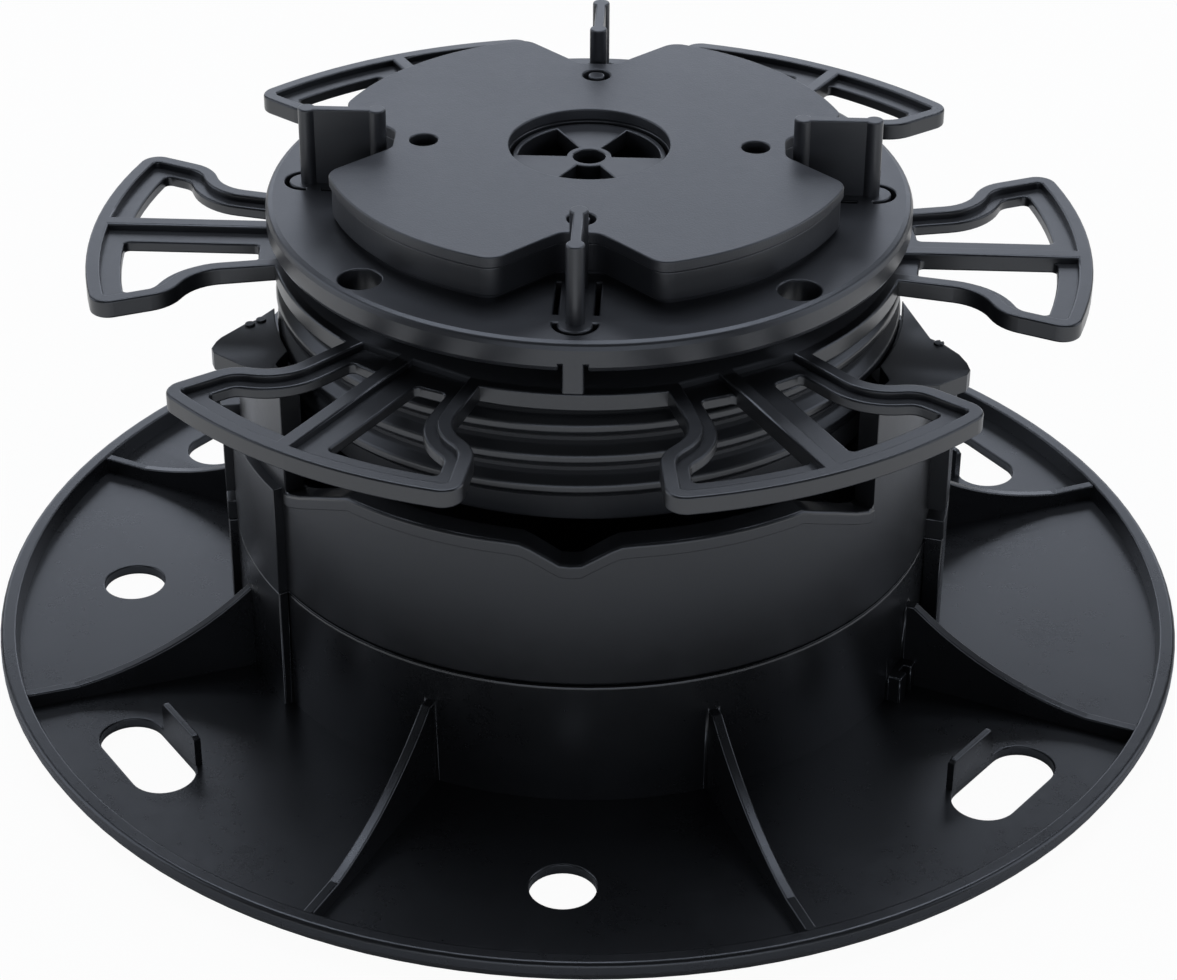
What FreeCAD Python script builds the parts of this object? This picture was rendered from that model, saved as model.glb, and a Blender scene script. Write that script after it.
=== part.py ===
import FreeCAD, Part
import math
import os

os.makedirs("parts", exist_ok=True)

# Millimetres, +Z up, front is -Y.  The origin is the middle of the underside of the base.
# Angles are counted from the front towards +X.
V = FreeCAD.Vector
UP = V(0, 0, 1)

runClear = 0.3           # between faces that slide or turn past each other
sinkIn = 0.6             # how far a moulded-on detail is rooted in its wall

# base flange and tube
flangeR = 103.0
flangeRimTop = 4.95
floorThick = 1.95
rimWidth = 2.7
footInset = 2.8
tubeR = 59.3
tubeWall = 3.8
seamZ = 24.45
drainR = 12.0
seamChamfer = 0.45
tubeInR = tubeR - tubeWall

# base ribs: a curved back, given as shares of the way from the tube to the rim
ribCount = 8
ribFirst = 22.5
ribThick = 1.8
ribBack = [(0.042, seamZ - 6.85), (0.415, 8.6), (0.813, 4.45)]
ribTipZ = 4.6
ribEnd = flangeR - rimWidth - 0.8

# fixing holes in the base, on a circle midway between tube and edge
screwHoleR = 5.3
screwHoleAt = (tubeR + flangeR) / 2
screwHoleAngles = [0, 180, 270]
slotAngles = [54, 126, -54, -126]
slotInner = screwHoleAt + 0.25
slotWide = 10.6
slotLong = 22.0
stopThick = 1.2
stopTop = floorThick + 5.7
stopFrom = -7.0
stopTo = 4.7

# side pilasters on base and collar, and the raised panel beside the left one
pilasterR = tubeR + 3.1
pilasterHalf = 12.5
pilasterGapZ = seamZ + 3.65
pilasterGap = 2.0
panelR = tubeR + 1.6
panelFrom = -79.0
panelTo = -54.0

# small hooked catch at the foot of the tube
hookFrom = 61.0
hookTo = 67.5
hookR = tubeR + 2.6
hookTall = 4.9
hookLeg = 2.4            # degrees
hookBar = 1.2

# collar
collarTop = seamZ + 37.8
collarInR = tubeInR
spigotLong = 6.0
spigotWall = 1.5
lipTall = 2.4
lipOut = 0.35
earFrom = 53.0
earTo = 72.0
backEarHalf = 38.0
nutFrom = 67.0
nutTo = {1: 85.0, -1: 79.5}
sideRimZ = collarTop - 15.25
rimDrop = [(0, 14.95), (1.6, 14.85), (3.5, 13.65), (6.0, 12.15), (7.6, 11.45), (10.0, 11.3), (37.0, 11.3),
           (44.0, 14.25), (48.4, 16.35), (51.6, 17.65), (earFrom, 17.75)]

# threaded sleeve
pitch = 5.4
crestR = collarInR - 3.5
threadDepth = 2.0
crestWide = 1.3
flankRise = 1.75         # axial run of each flank
threadRoot = 0.25        # how far its ridge is rooted in the sleeve
sleeveBottom = collarTop - 12.6
sleeveWall = 3.4
sleeveInR = crestR - threadDepth - sleeveWall
threadStartAz = -205.0
crestsBelow = 2
nutDepth = 1.4
flankClear = 0.42        # along the axis, between nut and sleeve flanks

# ears: outline of the top plate as angle and distance from the tube's face; the left ear stands closer in
earPlate = 3.2
earFoot = 62.0           # angle where the ear's block meets the ring
earBack = {1: 91.5, -1: 82.6}
earPlan = [(78.5, -1.64), (77.1, 0.81), (74.75, 3.82), (72.63, 5.66), (70.9, 6.73), (69.4, 6.71), (64.9, 3.87)]
earLess = {1: 0.0, -1: 2.1}
earThroat = (63.4, 2.75) # angle and gap to the sleeve where the inner edge turns away from it
earHugFrom = 66.0
earStandOff = 0.15
earKnobR = 0.85
earKnobTall = 0.3
earKnobs = {1: [(77.0, 0.0)], -1: [(78.1, -2.4), (76.9, -0.5)]}

# hand wheel
wheelTop = collarTop + 11.2
wheelThick = 3.1
valleyR = crestR + 0.2
lobeCount = 6
lobeFirst = 30
lobeR = valleyR + 30.5
lobeSide = [(35.7, 11.9), (19.3, 15.4), (16.7, 22.8), (3.2, 28.6)]    # distance in from the lobe's rim, half width
lobeCorner = 3.2
lobeWaist = 7.4
borderWide = 2.4
ledgeWide = 2.05
ledgeOuter = lobeR - 5.7
ledgeDrop = 1.15
hubWallR = valleyR - 2.7
webBoreR = sleeveInR - 8.3
windowInner = valleyR + 2.4
windowCorner = 0.9
spokeFrom = -3.2
spokeTo = 3.6
ribTo = -0.6
crestZAtFront = wheelTop - wheelThick - 3.3    # middle of the upper crest line at the front

# head plate
headR = valleyR + 0.8
headBottom = wheelTop + 3.9
headThick = 5.2
headTop = headBottom + headThick
headEdge = 1.2
headEdgeSoft = 0.35
bearingR = sleeveInR - 2.6
skirtWall = 3.0
skirtLong = 6.5
ventR = 3.4
ventAt = headR - 4.9
ventAngles = [45, 135, 225, 315]
fingerHalf = 1.65
fingerDeep = 2.2
fingerSlit = 0.6
fingerNotchTop = headBottom + 1.55

# pads and the seat under them
seatTop = headTop + 0.95
lowerPadThick = 4.95
upperPadThick = 1.98
padSeamZ = seatTop + lowerPadThick
padTop = padSeamZ + upperPadThick
padR = headR - 9.65
padNotchAt = padR - 11.45    # bottom of the notch over each fin
padNotchHalf = 3.1
padCorner = 3.4
padNotchRound = 3.0
padInset = 0.35
seatInset = 1.6
padHoleR = 13.14
pegHoleR = 2.3
pegAt = padNotchAt - 4.86
pegR = 1.4

# spacer fins and their break-out tongues
finTop = padTop + 5.32
finInner = padNotchAt + 1.2
finOuter = headR - 5.55
finPost = 1.47
finThin = 1.7
tongueHalf = 2.75
slitWide = 0.75
slitInner = padNotchAt + 1.1
slitOuter = headR - 9.3
arcMid = headR - 6.7
arcOuter = headR - 2.84
finAngles = [0, 90, 180, 270]

# hub in the middle of the head plate
bossTop = padSeamZ - 0.3
bossR = padHoleR - 0.54
bossWall = 1.0
bossWebR = bossR - bossWall
bossWebThick = 3.0
bossRingR = 3.75
bossHoleR = 2.6


def polar(r, az, z=0.0):
    a = math.radians(az)
    return V(r * math.sin(a), -r * math.cos(a), z)


def turned(shape, az):
    """Turn a piece drawn along +X so that it points at the angle az."""
    s = shape.copy()
    s.rotate(V(0, 0, 0), UP, az - 90.0)
    return s


def ring(inner, outer, low, high):
    s = Part.makeCylinder(outer, high - low, V(0, 0, low))
    if inner > 0:
        s = s.cut(Part.makeCylinder(inner, high - low + 2.0, V(0, 0, low - 1.0)))
    return s


def block(x0, x1, y0, y1, z0, z1):
    return Part.makeBox(x1 - x0, y1 - y0, z1 - z0, V(x0, y0, z0))


def fused(first, others):
    s = first
    for o in others:
        s = s.fuse(o)
    return s


def cutBy(first, others):
    s = first
    for o in others:
        s = s.cut(o)
    return s


def sector(inner, outer, low, high, azFrom, azTo):
    """Part of a ring between two angles."""
    angle = azTo - azFrom
    pts = [V(inner, 0, low), V(outer, 0, low), V(outer, 0, high), V(inner, 0, high), V(inner, 0, low)]
    face = Part.Face(Part.makePolygon(pts))
    s = face.revolve(V(0, 0, 0), UP, angle)
    return turned(s, azFrom)


def prism(points, low, high):
    wire = Part.makePolygon([V(x, y, low) for x, y in points + [points[0]]])
    return Part.Face(wire).extrude(V(0, 0, high - low))


def revolved(points):
    wire = Part.makePolygon([V(r, 0, z) for r, z in points + [points[0]]])
    return Part.Face(wire).revolve(V(0, 0, 0), UP, 360)


def filletUpright(shape, radius, test):
    edges = []
    for e in shape.Edges:
        if len(e.Vertexes) != 2:
            continue
        a, b = e.Vertexes[0].Point, e.Vertexes[1].Point
        upright = abs(a.x - b.x) < 1e-4 and abs(a.y - b.y) < 1e-4 and abs(a.z - b.z) > 0.2
        if upright and test(a):
            edges.append(e)
    return shape.makeFillet(radius, edges) if edges else shape


# base: flange, tube, ribs, pilasters, slot stops
def makeBase():
    rebateR = collarInR + spigotWall + runClear
    profile = [(drainR, 0), (flangeR - footInset, 0), (flangeR - 0.8, 1.45), (flangeR, 3.0), (flangeR, flangeRimTop - 0.5),
               (flangeR - 0.5, flangeRimTop), (flangeR - rimWidth, flangeRimTop), (flangeR - rimWidth - 0.5, floorThick),
               (tubeR, floorThick), (tubeR, seamZ - seamChamfer), (tubeR - seamChamfer, seamZ), (rebateR, seamZ),
               (rebateR, seamZ - spigotLong - runClear), (tubeInR, seamZ - spigotLong - runClear), (tubeInR, floorThick),
               (drainR, floorThick)]
    base = revolved(profile)
    base = fused(base, [turned(makeRib(), ribFirst + k * 360.0 / ribCount) for k in range(ribCount)])
    for side in (90, -90):
        base = base.fuse(sector(tubeR - sinkIn, pilasterR, floorThick - sinkIn, seamZ,
                                side - pilasterHalf, side + pilasterHalf))
    base = base.fuse(sector(tubeR - sinkIn, panelR, floorThick - sinkIn, seamZ, panelFrom, panelTo))
    base = fused(base, makeHook())
    cutters = [Part.makeCylinder(screwHoleR, floorThick + 2, polar(screwHoleAt, az, -1)) for az in screwHoleAngles]
    for az in slotAngles:
        cutters.append(turned(makeSlot(), az))
    base = cutBy(base, cutters)
    for az in slotAngles:
        flip = -1 if az in (-54, 126) else 1
        ends = sorted((flip * stopFrom, flip * stopTo))
        stop = block(slotInner - stopThick, slotInner, ends[0], ends[1], floorThick - sinkIn, stopTop)
        stop = filletTopCorners(stop, 0.9)
        base = base.fuse(turned(stop, az))
    return base


def makeRib():
    """Gusset between tube and rim: a hollow arc that runs out flat."""
    inner = tubeR - sinkIn
    low = floorThick - sinkIn
    start, mid, end = [V(tubeR + share * (ribEnd - tubeR), 0, z) for share, z in ribBack]
    tip = V(ribEnd, 0, ribTipZ)
    tail = V(ribEnd + rimWidth / 2, 0, ribTipZ)
    corners = [end, tip, tail, V(tail.x, 0, low), V(inner, 0, low), V(inner, 0, start.z), start]
    edges = [Part.Arc(start, mid, end).toShape()]
    edges += [Part.makeLine(p, q) for p, q in zip(corners[:-1], corners[1:])]
    rib = Part.Face(Part.Wire(edges)).extrude(V(0, ribThick, 0))
    rib.translate(V(0, -ribThick / 2, 0))
    return rib


def makeHook():
    """Two legs that stand out from the foot of the tube, joined by a bar at their top."""
    low = floorThick - sinkIn
    top = floorThick + hookTall
    legs = [sector(tubeR - sinkIn, hookR, low, top, az, az + hookLeg) for az in (hookFrom, hookTo - hookLeg)]
    bar = sector(tubeR - sinkIn, tubeR + hookBar, top - hookBar, top, hookFrom, hookTo)
    return legs + [bar]


def makeSlot():
    r = slotWide / 2
    half = slotLong / 2 - r
    mid = slotInner + r
    s = block(slotInner, slotInner + slotWide, -half, half, -1, floorThick + 1)
    for y in (-half, half):
        s = s.fuse(Part.makeCylinder(r, floorThick + 2, V(mid, y, -1)))
    return s


def filletTopCorners(plate, radius):
    """Round the two upper corners of a thin upright plate that stands across X."""
    top = plate.BoundBox.ZMax
    edges = []
    for e in plate.Edges:
        a, b = e.Vertexes[0].Point, e.Vertexes[1].Point
        if abs(a.z - top) < 1e-6 and abs(b.z - top) < 1e-6 and abs(a.y - b.y) < 1e-6:
            edges.append(e)
    return plate.makeFillet(radius, edges)


# collar: ring with a low front rim, two ears and a back segment, each with nut thread
def rimSpace():
    """Everything above the wavy front rim, as one solid from ear to ear."""
    half = [(az, collarTop - drop) for az, drop in rimDrop]
    line = [(-az, z) for az, z in reversed(half[1:])] + half
    near = collarInR - 8.0
    far = tubeR + 12.0
    top = collarTop + 5.0
    wedges = []
    for (a0, z0), (a1, z1) in zip(line[:-1], line[1:]):
        ends = []
        for az, z in ((a0, z0), (a1, z1)):
            pts = [polar(near, az, z), polar(far, az, z), polar(far, az, top), polar(near, az, top)]
            ends.append(Part.makePolygon(pts + [pts[0]]))
        wedges.append(Part.makeLoft(ends, True, True))
    return fused(wedges[0], wedges[1:])


def makeCollar():
    spigotOut = collarInR + spigotWall
    profile = [(collarInR, seamZ - spigotLong), (spigotOut, seamZ - spigotLong), (spigotOut, seamZ),
               (tubeR - seamChamfer, seamZ), (tubeR, seamZ + seamChamfer), (tubeR, collarTop), (collarInR, collarTop)]
    collar = revolved(profile)
    opening = rimSpace()
    under = opening.copy()
    under.translate(V(0, 0, -lipTall))
    lip = ring(tubeR - sinkIn, tubeR + lipOut, seamZ + 8.0, collarTop - 4.0).common(under)
    low = [sector(collarInR - 8, tubeR + 12, sideRimZ, collarTop + 2, earTo, 180 - backEarHalf),
           sector(collarInR - 8, tubeR + 12, sideRimZ, collarTop + 2, 180 + backEarHalf, 360 - earTo)]
    collar = cutBy(collar.fuse(lip), [opening] + low)
    for side in (1, -1):
        collar = collar.fuse(makeEar(side))
    collar = collar.fuse(sector(crestR + runClear, collarInR + sinkIn, sideRimZ - 2.0, collarTop,
                                180 - backEarHalf, 180 + backEarHalf))
    for side in (90, -90):
        collar = collar.fuse(sector(tubeR - sinkIn, pilasterR, seamZ, pilasterGapZ,
                                    side - pilasterHalf, side + pilasterHalf))
        collar = collar.fuse(sector(tubeR - sinkIn, pilasterR, pilasterGapZ + pilasterGap, sideRimZ,
                                    side - pilasterHalf, side + pilasterHalf))
    collar = collar.fuse(sector(tubeR - sinkIn, panelR, seamZ, sideRimZ - lipTall, panelFrom, panelTo))
    return collar


def makeEar(side):
    """Upright block that hugs the sleeve, with a wider plate on top."""
    face = crestR + runClear + earStandOff
    less = earLess[side]
    outer = [polar(tubeR + out - less, az) for az, out in earPlan]
    foot = [polar(tubeR - runClear, earFoot), polar(collarInR + runClear, earFoot)]
    inner = [polar(crestR + earThroat[1], earThroat[0]), polar(face, earHugFrom)]
    back = polar(face, earBack[side])
    plan = [(side * p.x, p.y) for p in [back] + outer + foot + inner]
    sleeveRoom = Part.makeCylinder(face, collarTop * 2)
    plate = prism(plan, collarTop - earPlate, collarTop).cut(sleeveRoom)
    body = prism(plan, sideRimZ - 2.0, collarTop - 1.0).cut(sleeveRoom)
    body = body.common(Part.makeCylinder(tubeR, collarTop))
    knobs = []
    for az, out in earKnobs[side]:
        at = polar(tubeR + out - less, side * az, collarTop - earPlate)
        knobs.append(Part.makeCylinder(earKnobR, earPlate + earKnobTall, at))
    return fused(body.fuse(plate), knobs)


# spindle: threaded sleeve with the hand wheel on top
def threadBody(half, azFrom, azTo, zFrom):
    """Helical ridge between two angles, its middle at zFrom where it starts.

    The upper half of its section is given as radius and height over its middle, from the wall to the crest."""
    turns = (azTo - azFrom) / 360.0
    helix = Part.makeHelix(pitch, pitch * turns, crestR)
    pts = [V(r, 0, -z) for r, z in half] + [V(r, 0, z) for r, z in reversed(half)]
    wire = Part.makePolygon(pts + [pts[0]])
    shell = Part.Wire(helix.Edges).makePipeShell([wire], True, True)
    shell.translate(V(0, 0, zFrom))
    return turned(shell, azFrom)


def crestZ(az):
    return crestZAtFront + pitch * az / 360.0


def makeSleeveThread():
    """Low flat crests with sloping flanks that meet in the root."""
    rootR = crestR - threadDepth
    start = threadStartAz
    zStart = crestZ(start) - crestsBelow * pitch
    zEnd = wheelTop - wheelThick - crestWide / 2
    azEnd = start + (zEnd - zStart) / pitch * 360.0
    foot = crestWide / 2 + flankRise * (1 + threadRoot / threadDepth)
    half = [(rootR - threadRoot, foot), (crestR, crestWide / 2)]
    return threadBody(half, start, azEnd, zStart)


def makeNutThread(azFrom, azTo, wallR):
    """Nut ridges lie midway between the turns of the sleeve's thread."""
    tipR = crestR - nutDepth
    wide = pitch / 2 - crestWide / 2 - flankClear
    half = [(wallR + sinkIn, wide), (crestR, wide), (tipR, wide - nutDepth * flankRise / threadDepth)]
    ridges = []
    for k in range(6):
        z = crestZ(azFrom) - (k + 0.5) * pitch
        zEnd = z + pitch * (azTo - azFrom) / 360.0
        if z - wide < sideRimZ - 1.5 or zEnd + wide > collarTop - 0.1:
            continue
        ridges.append(threadBody(half, azFrom, azTo, z))
    return ridges


def lobeOutline():
    side = [(lobeR - back, half) for back, half in lobeSide]
    pts = side + [(lobeR + 10.0, lobeSide[-1][1])]
    lower = [(x, -y) for x, y in reversed(pts)]
    s = prism(pts + lower, wheelTop - wheelThick, wheelTop)
    s = s.common(Part.makeCylinder(lobeR, wheelThick + 2, V(0, 0, wheelTop - wheelThick - 1)))
    waist = (lobeR - lobeSide[1][0], lobeR - lobeSide[2][0])
    s = filletUpright(s, lobeCorner, lambda p: abs(math.hypot(p.x, p.y) - lobeR) < 0.05)
    return filletUpright(s, lobeWaist, lambda p: waist[0] - 0.4 < p.x < waist[1] + 0.6)


def topFace(shape, z):
    best = None
    for f in shape.Faces:
        n = f.normalAt(0.5, 0.5)
        if abs(f.CenterOfMass.z - z) < 1e-4 and abs(abs(n.z) - 1) < 1e-4:
            if best is None or f.Area > best.Area:
                best = f
    return best


def makeRecess():
    """Shallow sunk field of a lobe, which runs in over the hub disc as far as the wall round it."""
    inset = topFace(lobeOutline(), wheelTop).makeOffset2D(-borderWide)
    recess = Part.Face(inset.Wires[0]).extrude(V(0, 0, wheelThick))
    recess.translate(V(0, 0, -ledgeDrop))
    recess = recess.cut(Part.makeCylinder(hubWallR, wheelTop * 2))
    return recess.cut(block(hubWallR - 5, lobeR, spokeFrom, ribTo, 0, wheelTop * 2))


def makeLobe():
    lobe = lobeOutline()
    inner = topFace(lobe, wheelTop).makeOffset2D(-(borderWide + ledgeWide))
    window = Part.Face(inner.Wires[0]).extrude(V(0, 0, wheelThick * 3))
    window.translate(V(0, 0, -wheelThick * 2))
    window = window.common(Part.makeCylinder(ledgeOuter, wheelTop * 2))
    window = window.cut(Part.makeCylinder(windowInner, wheelTop * 2))
    window = window.cut(block(hubWallR - 5, lobeR, spokeFrom, spokeTo, 0, wheelTop * 2))
    window = filletUpright(window, windowCorner, lambda p: True)
    return lobe.cut(makeRecess()).cut(window)


def makeSpindle():
    rootR = crestR - threadDepth
    low = wheelTop - wheelThick
    sleeve = ring(sleeveInR, rootR, sleeveBottom, low + 1.0)
    disc = ring(webBoreR, valleyR, low, wheelTop)
    keep = makeLobe().cut(Part.makeCylinder(hubWallR, wheelTop * 2))
    notch = makeRecess().common(Part.makeCylinder(valleyR + 2, wheelTop * 2))
    angles = [lobeFirst + k * 360.0 / lobeCount for k in range(lobeCount)]
    disc = cutBy(disc, [turned(notch, az) for az in angles])
    return fused(sleeve.fuse(makeSleeveThread()), [disc] + [turned(keep, az) for az in angles])


# head plate: disc, seat, boss, skirt, fins and finger
def makeFin():
    low = headTop - sinkIn
    fin = block(finInner + finPost, finOuter - finPost, -finThin / 2, finThin / 2, low, finTop)
    for x in (finInner + finPost, finOuter - finPost):
        fin = fin.fuse(Part.makeCylinder(finPost, finTop - low, V(x, 0, low)))
    return fin


def tongueSlits():
    low = headBottom - 1
    high = headTop + 1
    cuts = []
    for s in (1, -1):
        y = sorted((s * tongueHalf, s * (tongueHalf + slitWide)))
        cuts.append(block(slitInner, slitOuter, y[0], y[1], low, high))
    r = tongueHalf + slitWide
    mid = arcOuter - r
    arc = ring(tongueHalf, r, low, high)
    arc.translate(V(mid, 0, 0))
    arc = arc.common(block(arcMid, headR, -r, r, low, high))
    cuts.append(arc)
    return cuts


def makeHead():
    edge = [(headR, headTop - headEdge), (headR - headEdgeSoft, headTop - headEdgeSoft), (headR - headEdge, headTop)]
    under = [(r, headBottom + headTop - z) for r, z in reversed(edge)]
    profile = [(bossWebR, headBottom)] + under + edge + [(bossWebR, headTop)]
    skirtR = webBoreR - runClear
    bearing = ring(skirtR - skirtWall, bearingR, wheelTop, headBottom + sinkIn)
    skirt = ring(skirtR - skirtWall, skirtR, wheelTop - skirtLong, headBottom + sinkIn)
    seat = padSolid(headTop - sinkIn, seatTop, seatInset, bossR - sinkIn)
    head = fused(revolved(profile), [bearing, skirt, seat, makeBoss()])
    cuts = []
    for az in finAngles:
        cuts += [turned(c, az) for c in tongueSlits()]
    cuts += [Part.makeCylinder(ventR, headTop, polar(ventAt, az, headBottom - 1)) for az in ventAngles]
    head = cutBy(head, cuts)
    head = fused(head, [turned(makeFin(), az) for az in finAngles])
    for az in (0, 180):
        head = head.fuse(Part.makeCylinder(pegR, padTop - headTop + sinkIn, polar(pegAt, az, headTop - sinkIn)))
    return addFinger(head)


def addFinger(head):
    tip = wheelTop + runClear
    notch = []
    for s in (1, -1):
        y = sorted((s * fingerHalf, s * (fingerHalf + fingerSlit)))
        notch.append(turned(block(headR - 3.2, headR + 2, y[0], y[1], headBottom - 1, fingerNotchTop), 0))
    head = cutBy(head, notch)
    finger = block(headR - fingerDeep, headR + 2, -fingerHalf, fingerHalf, tip, fingerNotchTop)
    finger = finger.common(Part.makeCylinder(headR, 20, V(0, 0, tip - 2)))
    return head.fuse(turned(finger, 0))


def makeBoss():
    """Open hub in the middle: a ring, three solid sectors and three openings inside a wall."""
    floorLow = bossTop - bossWebThick
    wall = ring(bossWebR, bossR, headBottom, bossTop)
    web = ring(bossHoleR, bossR - bossWall / 2, floorLow, bossTop)
    gaps = [sector(bossRingR, bossWebR, floorLow - 1, bossTop + 1, az - 30, az + 30) for az in (0, 120, 240)]
    return wall.fuse(cutBy(web, gaps))


# pads
def padSolid(low, high, inset, holeR):
    """Round pad with a flared notch over each fin, its corners rounded."""
    at = padNotchAt - inset
    half = padNotchHalf + inset * (math.sqrt(2) - 1)
    reach = padR - at + 10.0
    s = ring(0, padR - inset, low, high)
    for az in finAngles:
        pts = [(at, -half), (at + reach, -half - reach), (at + reach, half + reach), (at, half)]
        s = s.cut(turned(prism(pts, low - 1, high + 1), az))
    s = filletUpright(s, padCorner, lambda p: abs(math.hypot(p.x, p.y) - (padR - inset)) < 0.01)
    s = filletUpright(s, padNotchRound, lambda p: math.hypot(p.x, p.y) < at + half)
    return s.cut(Part.makeCylinder(holeR, high * 2))


def makePad(low, high, inset):
    pad = padSolid(low, high, inset, padHoleR)
    return cutBy(pad, [Part.makeCylinder(pegHoleR, high * 2, polar(pegAt, az)) for az in finAngles])


def main():
    collar = makeCollar()
    earWall = crestR + runClear + earStandOff
    for a0, a1 in ((nutFrom, nutTo[1]), (-nutTo[-1], -nutFrom)):
        collar = fused(collar, makeNutThread(a0, a1, earWall))
    back = backEarHalf - 2.0
    collar = fused(collar, makeNutThread(180 - back, 180 + back, crestR + runClear))
    pieces = {
        "base": makeBase(),
        "collar": collar,
        "spindle": makeSpindle(),
        "head_plate": makeHead(),
        "lower_pad": makePad(seatTop, padSeamZ, padInset),
        "upper_pad": makePad(padSeamZ, padTop, 0.0),
    }
    for name, shape in pieces.items():
        shape = shape.removeSplitter()
        box = shape.BoundBox
        print(name, shape.ShapeType, len(shape.Solids), shape.isValid(), round(shape.Volume),
              [round(v, 2) for v in (box.XMin, box.XMax, box.YMin, box.YMax, box.ZMin, box.ZMax)])
        shape.exportStep("parts/" + name + ".step")


main()
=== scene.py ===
import math

import bmesh
import bpy
from mathutils import Matrix, Vector
from mathutils.bvhtree import BVHTree
from mathutils.geometry import barycentric_transform


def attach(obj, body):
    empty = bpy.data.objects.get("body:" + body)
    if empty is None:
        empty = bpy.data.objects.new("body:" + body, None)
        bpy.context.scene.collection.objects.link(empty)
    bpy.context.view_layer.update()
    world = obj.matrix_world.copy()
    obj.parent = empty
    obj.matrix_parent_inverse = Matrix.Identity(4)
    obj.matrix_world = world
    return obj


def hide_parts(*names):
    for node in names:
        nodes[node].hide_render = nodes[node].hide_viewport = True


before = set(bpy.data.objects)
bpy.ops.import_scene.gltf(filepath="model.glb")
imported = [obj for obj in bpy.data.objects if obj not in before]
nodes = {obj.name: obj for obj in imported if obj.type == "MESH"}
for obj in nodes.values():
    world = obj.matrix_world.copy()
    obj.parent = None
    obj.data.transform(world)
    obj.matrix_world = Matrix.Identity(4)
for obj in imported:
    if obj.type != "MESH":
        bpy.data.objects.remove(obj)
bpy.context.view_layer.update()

print("frame loaded:", ", ".join(sorted(nodes)))

# places of sockets on Blender's nodes
objectSpot = 3
vectorLength = 1
mixedColor = 2
rayOf = {"camera": 0, "glossy": 3, "transmission": 6}


class Wire:
    # a shader node's output, so that sums are written as plain maths

    def __init__(self, tree, socket):
        self.tree = tree
        self.socket = socket

    def joined(self, kind, left, right):
        n = self.tree.nodes.new("ShaderNodeMath")
        n.operation = kind
        for socket, value in zip(n.inputs, (left, right)):
            if isinstance(value, Wire):
                self.tree.links.new(value.socket, socket)
            else:
                socket.default_value = value
        return Wire(self.tree, n.outputs[0])

    def __add__(self, other):
        return self.joined("ADD", self, other)

    def __radd__(self, other):
        return self.joined("ADD", other, self)

    def __sub__(self, other):
        return self.joined("SUBTRACT", self, other)

    def __mul__(self, other):
        return self.joined("MULTIPLY", self, other)

    def __rmul__(self, other):
        return self.joined("MULTIPLY", other, self)


class Paint:

    def __init__(self, name):
        self.mat = bpy.data.materials.new(name)
        self.mat.use_nodes = True
        self.tree = self.mat.node_tree
        self.shader = self.tree.nodes["Principled BSDF"]

    def node(self, kind, settings=None, values=None, out=0):
        n = self.tree.nodes.new(kind)
        for key, setting in (settings or {}).items():
            setattr(n, key, setting)
        for key, value in (values or {}).items():
            if isinstance(value, Wire):
                self.tree.links.new(value.socket, n.inputs[key])
            else:
                n.inputs[key].default_value = value
        return Wire(self.tree, n.outputs[out])

    def noise(self, where, scale, detail, roughness=0.5):
        return self.node("ShaderNodeTexNoise", values={"Vector": where, "Scale": scale, "Detail": detail,
                                                       "Roughness": roughness})

    def fade(self, value, start, end, atStart, atEnd):
        return self.node("ShaderNodeMapRange", {"interpolation_type": "SMOOTHSTEP"},
                         {0: value, 1: start, 2: end, 3: atStart, 4: atEnd})

    def length(self, vector):
        return self.node("ShaderNodeVectorMath", {"operation": "LENGTH"}, {0: vector}, out=vectorLength)

    def feed(self, socketName, wire):
        self.tree.links.new(wire.socket, self.shader.inputs[socketName])


satinBlack = {
    "dark": (0.0048, 0.0050, 0.0056, 1),
    "pale": (0.0080, 0.0083, 0.0092, 1),
    "toneSwing": 0.9,
    "cloudScale": 60.0,
    "cloudRough": 0.10,
    "grainScale": 2600.0,
    "grainDepth": 0.07,
    "grainReach": 0.00012,
    "grainShare": 0.85,
    "streakScale": 420.0,
    "streakRough": 0.10,
    "roughness": 0.25,
    "gloss": {"Specular IOR Level": 0.8, "Specular Tint": (0.90, 0.94, 1.0, 1)},
}


def grooveDullness(p, where, look):
    # the thread's roots lie deep and are dull, its crests keep the satin
    level = p.node("ShaderNodeVectorMath", {"operation": "MULTIPLY"}, {0: where, 1: (1.0, 1.0, 0.0)})
    inner = look["grooveRadius"]
    return p.fade(p.length(level), inner, inner + look["grooveSoft"], 1.0, 0.0) * look["grooveDull"]


def mouldedPlastic(name, look):
    p = Paint(name)
    for key, value in look["gloss"].items():
        p.shader.inputs[key].default_value = value
    where = p.node("ShaderNodeTexCoord", out=objectSpot)
    cloud = p.noise(where, look["cloudScale"], 4.0)
    grain = p.noise(where, look["grainScale"], 3.0)
    streak = p.noise(where, look["streakScale"], 5.0, 0.7)
    tone = p.node("ShaderNodeMix", {"data_type": "RGBA"},
                  {0: cloud * look["toneSwing"], 6: look["dark"], 7: look["pale"]}, out=mixedColor)
    p.feed("Base Color", tone)
    rough = look["roughness"] + (cloud - 0.5) * look["cloudRough"] + (streak - 0.5) * look["streakRough"]
    if "grooveRadius" in look:
        rough = rough + grooveDullness(p, where, look)
    p.feed("Roughness", rough)
    relief = grain * look["grainShare"] + streak * (1 - look["grainShare"])
    bump = p.node("ShaderNodeBump", values={"Strength": look["grainDepth"], "Distance": look["grainReach"],
                                            "Height": relief})
    p.feed("Normal", bump)
    return p.mat


def bendOf(edge):
    if len(edge.link_faces) != 2 or not edge.is_convex:    # inner corners stay as they are
        return 0.0
    return math.degrees(edge.calc_face_angle(0.0))


def middleOf(edge):
    return (edge.verts[0].co + edge.verts[1].co) / 2


def radiusOf(spot):
    return math.hypot(spot.x, spot.y)


mouldedNormals = {"reach": 3e-5, "lengths": (0.5, 1.5), "agree": 0.5, "level": 0.9999}


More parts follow.
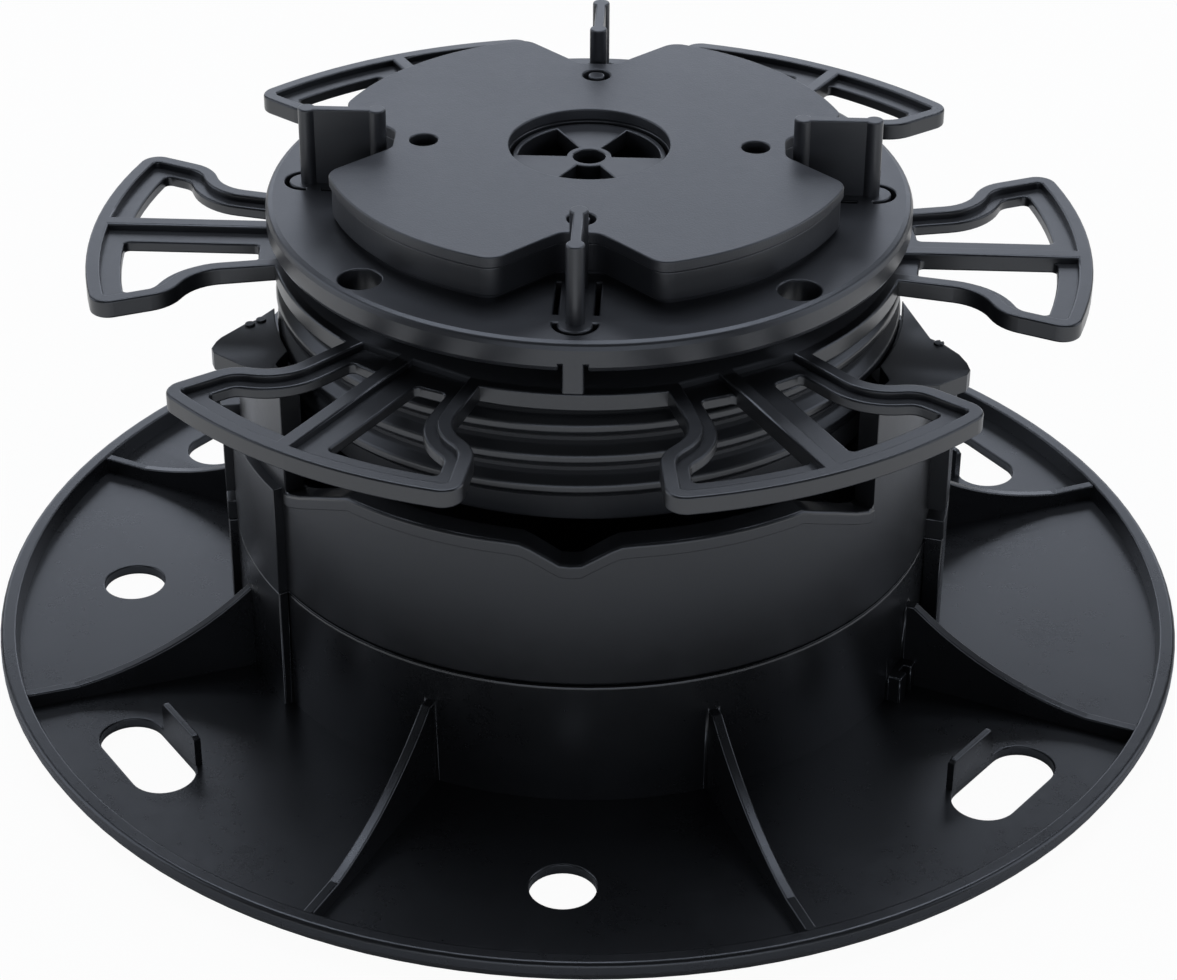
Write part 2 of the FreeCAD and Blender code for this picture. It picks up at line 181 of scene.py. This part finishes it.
class Shading:
    # the moulding's own normals, read at any point of its surface

    def __init__(self, mesh):
        mesh.calc_loop_triangles()
        self.spots = [v.co.copy() for v in mesh.vertices]
        self.tris = [tuple(t.vertices) for t in mesh.loop_triangles]
        self.flat = [t.normal.copy() for t in mesh.loop_triangles]
        self.soft = [[mesh.corner_normals[k].vector.copy() for k in t.loops] for t in mesh.loop_triangles]
        self.tree = BVHTree.FromPolygons(self.spots, self.tris)

    def at(self, spot, facing):
        near = self.tree.find_nearest_range(spot, mouldedNormals["reach"])
        if not near:
            return facing
        place, _, index, _ = max(near, key=lambda hit: self.flat[hit[2]].dot(facing))
        corners = [self.spots[i] for i in self.tris[index]]
        n = barycentric_transform(place, *corners, *self.soft[index])
        shortest, longest = mouldedNormals["lengths"]
        if not shortest < n.length < longest or n.dot(facing) < mouldedNormals["agree"]:
            return facing
        return n.normalized()


def isLevel(poly):
    return abs(poly.normal.z) > mouldedNormals["level"]


def softNormals(mesh, rounded, shading):
    # flat and curved faces keep the moulding's normals, the rounded corners blend from one to the other
    found = [None] * len(mesh.loops)
    kept = {}
    for poly in mesh.polygons:
        if poly.index in rounded:
            continue
        for k in poly.loop_indices:
            v = mesh.loops[k].vertex_index
            found[k] = poly.normal.copy() if isLevel(poly) else shading.at(mesh.vertices[v].co, poly.normal)
            kept.setdefault(v, []).append(found[k])
    for index in rounded:
        poly = mesh.polygons[index]
        for k in poly.loop_indices:
            v = mesh.loops[k].vertex_index
            if isLevel(poly):
                found[k] = poly.normal.copy()
            elif v in kept:
                found[k] = max(kept[v], key=lambda n: n.dot(poly.normal))
            else:
                found[k] = mesh.vertex_normals[v].vector.copy()
    mesh.normals_split_custom_set(found)


cleaning = {"weld": 4e-6, "thinEdge": 8e-6, "flatAngle": math.radians(0.3)}
wideSteps = 3


def bevelEdges(bm, edges, size, steps):
    cut = bmesh.ops.bevel(bm, geom=edges, offset=size, offset_type="OFFSET", segments=steps, profile=0.5,
                          affect="EDGES", clamp_overlap=False)
    return cut["faces"]


def roundCorners(bm, edges):
    corner = bm.faces.layers.int.new("corner")
    if "wideTest" in edges:
        wide = [e for e in bm.edges if edges["wideTest"](e)]
        for f in bevelEdges(bm, wide, edges["wideSize"], wideSteps) if wide else []:
            f[corner] = 1
    isPlain = edges.get("plainTest", lambda e: False)
    sharp = []
    for e in bm.edges:
        besideCorner = any(f[corner] for f in e.link_faces)
        if bendOf(e) > edges["bend"] and not besideCorner and not isPlain(e):
            sharp.append(e)
    for f in bevelEdges(bm, sharp, edges["size"], edges["steps"]):
        f[corner] = 1
    return corner


def roundedSkin(name, node, body, mat, edges):
    bm = bmesh.new()
    bm.from_mesh(nodes[node].data)
    bmesh.ops.remove_doubles(bm, verts=bm.verts, dist=cleaning["weld"])
    bmesh.ops.dissolve_degenerate(bm, edges=bm.edges, dist=cleaning["thinEdge"])
    cad = BVHTree.FromBMesh(bm)
    bmesh.ops.dissolve_limit(bm, angle_limit=cleaning["flatAngle"], verts=bm.verts, edges=bm.edges,
                             use_dissolve_boundaries=False)
    corner = roundCorners(bm, edges)
    furthest = max(edges["size"], edges.get("wideSize", 0.0))
    for v in bm.verts:
        place, _, _, away = cad.find_nearest(v.co)
        if away > furthest:    # a stray point of a tight corner goes back to the moulding
            v.co = place
    bm.faces.index_update()
    rounded = {f.index for f in bm.faces if f[corner]}
    mesh = bpy.data.meshes.new(name)
    bm.to_mesh(mesh)
    bm.free()
    for poly in mesh.polygons:
        poly.use_smooth = True
    softNormals(mesh, rounded, Shading(nodes[node].data))
    mesh.materials.append(mat)
    skin = bpy.data.objects.new(name, mesh)
    bpy.context.scene.collection.objects.link(skin)
    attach(skin, body)
    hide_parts(node)
    print(name, "faces", len(mesh.polygons), "rounded", len(rounded))


baseForm = {
    "ribRootRadius": (0.0588, 0.0600),
    "ribRootTop": 0.0182,
    "ribRootBend": 0.7,
    "ribRootTilt": 0.1,
    "stopCornerRadius": (0.0790, 0.0830),
    "stopFoot": 0.0025,
    "stopUpright": 0.9,
}


def atRibRoot(edge):
    # inner corner between a rib's side and the tube
    if len(edge.link_faces) != 2 or edge.is_convex or edge.calc_face_angle(0.0) < baseForm["ribRootBend"]:
        return False
    inner, outer = baseForm["ribRootRadius"]
    mid = middleOf(edge)
    upright = max(abs(f.normal.z) for f in edge.link_faces) < baseForm["ribRootTilt"]
    return upright and inner < radiusOf(mid) < outer and mid.z < baseForm["ribRootTop"]


def onStopEnd(edge):
    # upright corners of the slots' stops, which stand flush with the slot
    a, b = edge.verts[0].co, edge.verts[1].co
    inner, outer = baseForm["stopCornerRadius"]
    upright = abs(a.z - b.z) > baseForm["stopUpright"] * edge.calc_length()
    return upright and inner < radiusOf(middleOf(edge)) < outer and max(a.z, b.z) > baseForm["stopFoot"]


def makeBase():
    look = dict(satinBlack, roughness=0.29)
    edges = {"size": 0.00035, "bend": 40, "steps": 2, "wideTest": atRibRoot, "wideSize": 0.0005,
             "plainTest": onStopEnd}
    paint = mouldedPlastic("satinBlackBase", look)
    roundedSkin("baseSkin", "base", "base", paint, edges)


collarForm = {"rimTopRadius": (0.0594, 0.0599), "rimTopBend": 40, "rimTopSlope": 0.4}


def onRimTop(edge):
    # outer edge of the collar's wavy rim
    if bendOf(edge) < collarForm["rimTopBend"]:
        return False
    inner, outer = collarForm["rimTopRadius"]
    slope = max(f.normal.z for f in edge.link_faces)
    return inner < radiusOf(middleOf(edge)) < outer and slope > collarForm["rimTopSlope"]


def makeCollar():
    look = dict(satinBlack, dark=(0.006, 0.0062, 0.0069, 1), pale=(0.010, 0.0104, 0.0115, 1), roughness=0.32)
    edges = {"size": 0.00015, "bend": 40, "steps": 2, "wideTest": onRimTop, "wideSize": 0.0006}
    paint = mouldedPlastic("satinBlackCollar", look)
    roundedSkin("collarSkin", "collar", "base", paint, edges)


def makeWheel():
    look = dict(satinBlack, dark=(0.008, 0.0083, 0.0092, 1), pale=(0.013, 0.0135, 0.0150, 1), roughness=0.32,
                grooveRadius=0.0503, grooveSoft=0.0004, grooveDull=0.45)
    edges = {"size": 0.0004, "bend": 35, "steps": 3}
    paint = mouldedPlastic("satinBlackWheel", look)
    roundedSkin("wheelSkin", "spindle", "wheel", paint, edges)


# painted light: the head and the lower pad are the same black plastic as the rest, given a lighter base
# colour that stands in for the front light falling on them
paintedLightSatin = dict(satinBlack, dark=(0.018, 0.0187, 0.0208, 1), pale=(0.028, 0.0291, 0.0323, 1), roughness=0.36)


def makeHead():
    edges = {"size": 0.0003, "bend": 40, "steps": 2}
    # lighter base colour: painted front light on the head
    paint = mouldedPlastic("satinBlackHead", paintedLightSatin)
    roundedSkin("headSkin", "head_plate", "head", paint, edges)


padEdges = {"size": 0.0003, "bend": 40, "steps": 3}


def makeLowerPad():
    # lighter base colour: painted front light on the lower pad
    paint = mouldedPlastic("satinBlackPad", paintedLightSatin)
    roundedSkin("lowerPadSkin", "lower_pad", "head", paint, padEdges)


def makeUpperPad():
    look = dict(satinBlack, dark=(0.026, 0.0270, 0.0300, 1), pale=(0.038, 0.0395, 0.0438, 1), roughness=0.40,
                grainScale=3600.0, grainDepth=0.28)
    paint = mouldedPlastic("fineMattePad", look)
    roundedSkin("upperPadSkin", "upper_pad", "head", paint, padEdges)


for makePiece in (makeBase, makeCollar, makeWheel, makeHead, makeLowerPad, makeUpperPad):
    makePiece()
print("skins set")


paleFloor = {"size": 6.0, "shade": 0.86, "roughness": 0.9, "shown": 0.96, "mirrored": 0.97,
             "fadeFrom": 0.105, "fadeTo": 0.175}


def makeFloor():
    bpy.ops.mesh.primitive_plane_add(size=paleFloor["size"], location=(0, 0, 0))
    floor = bpy.context.object
    floor.name = "paleFloor"
    p = Paint("paleFloorPaint")
    shade = paleFloor["shade"]
    p.shader.inputs["Base Color"].default_value = (shade, shade, shade, 1)
    p.shader.inputs["Roughness"].default_value = paleFloor["roughness"]
    p.shader.inputs["Specular IOR Level"].default_value = 0.0
    glow = p.node("ShaderNodeEmission", values={"Color": (1, 1, 1, 1), "Strength": 1.0})
    # painted shade: the white glow that reflections see fades out near the object, standing in for the
    # object's shadow on the floor around its foot
    away = p.length(p.node("ShaderNodeTexCoord", out=objectSpot))
    mirrored = p.fade(away, paleFloor["fadeFrom"], paleFloor["fadeTo"], 0.0, paleFloor["mirrored"])
    ray = {name: p.node("ShaderNodeLightPath", out=place) for name, place in rayOf.items()}
    shown = paleFloor["shown"]
    seen = shown * ray["camera"] + mirrored * ray["glossy"] + shown * ray["transmission"]
    plain = Wire(p.tree, p.shader.outputs[0])
    mix = p.node("ShaderNodeMixShader", values={0: seen, 1: plain, 2: glow})
    p.tree.links.new(mix.socket, p.tree.nodes["Material Output"].inputs["Surface"])
    floor.data.materials.append(p.mat)


def makeWorld():
    world = bpy.data.worlds.new("studio")
    bpy.context.scene.world = world
    world.use_nodes = True
    back = world.node_tree.nodes["Background"]
    back.inputs["Color"].default_value = (0.94, 0.97, 1.0, 1)
    back.inputs["Strength"].default_value = 0.05


coolWhite = (0.91, 0.97, 1.10)
lamps = {
    "backSoftbox": {"place": (-0.1, 1.5, 0.59), "aim": (0, 0, 0.07), "size": (2.4, 0.72), "power": 8.8},
    "topSoftbox": {"place": (0.0, 0.45, 1.15), "aim": (0, 0, 0.05), "size": (1.2, 0.6), "power": 6.5},
    "frontFill": {"place": (0.15, -1.3, 0.30), "aim": (0, 0, 0.06), "size": (1.6, 0.36), "power": 3.0},
    "leftStrip": {"place": (-1.1, 0.1, 0.48), "aim": (0, 0, 0.06), "size": (1.0, 0.8), "power": 3.0},
    "rightStrip": {"place": (1.1, 0.1, 0.48), "aim": (0, 0, 0.06), "size": (1.0, 0.8), "power": 3.0},
}


def makeLamp(name, place, aim, size, power):
    data = bpy.data.lights.new(name, "AREA")
    data.shape = "RECTANGLE"
    data.size, data.size_y = size
    data.energy = power
    data.color = coolWhite
    lamp = bpy.data.objects.new(name, data)
    lamp.location = place
    lamp.rotation_euler = (Vector(aim) - Vector(place)).to_track_quat("-Z", "Y").to_euler()
    bpy.context.scene.collection.objects.link(lamp)


# solved from the photograph
photoView = {
    "lens": 92.189,
    "sensor": 36.0,
    "shift": (0.02417, -0.00217),
    "nearest": 0.01,
    "place": (0.019289, -0.445436, 0.301696),
    "right": (0.998558, 0.053687, -0.000456),
    "up": (-0.027960, 0.527263, 0.849242),
    "ahead": (-0.045834, 0.848004, -0.528003),
}


def makeCamera():
    cam = bpy.data.objects.new("camera", bpy.data.cameras.new("camera"))
    cam.data.lens = photoView["lens"]
    cam.data.sensor_width = photoView["sensor"]
    cam.data.shift_x, cam.data.shift_y = photoView["shift"]
    cam.data.clip_start = photoView["nearest"]
    rows = (Vector(photoView["right"]), Vector(photoView["up"]), -Vector(photoView["ahead"]))
    turn = Matrix(rows).transposed().to_4x4()
    cam.matrix_world = Matrix.Translation(photoView["place"]) @ turn
    bpy.context.scene.collection.objects.link(cam)
    bpy.context.scene.camera = cam


makeFloor()
makeWorld()
for lampName, lampSettings in lamps.items():
    makeLamp(lampName, **lampSettings)
makeCamera()
bpy.context.scene.view_settings.view_transform = "Standard"
print("stage and camera set")
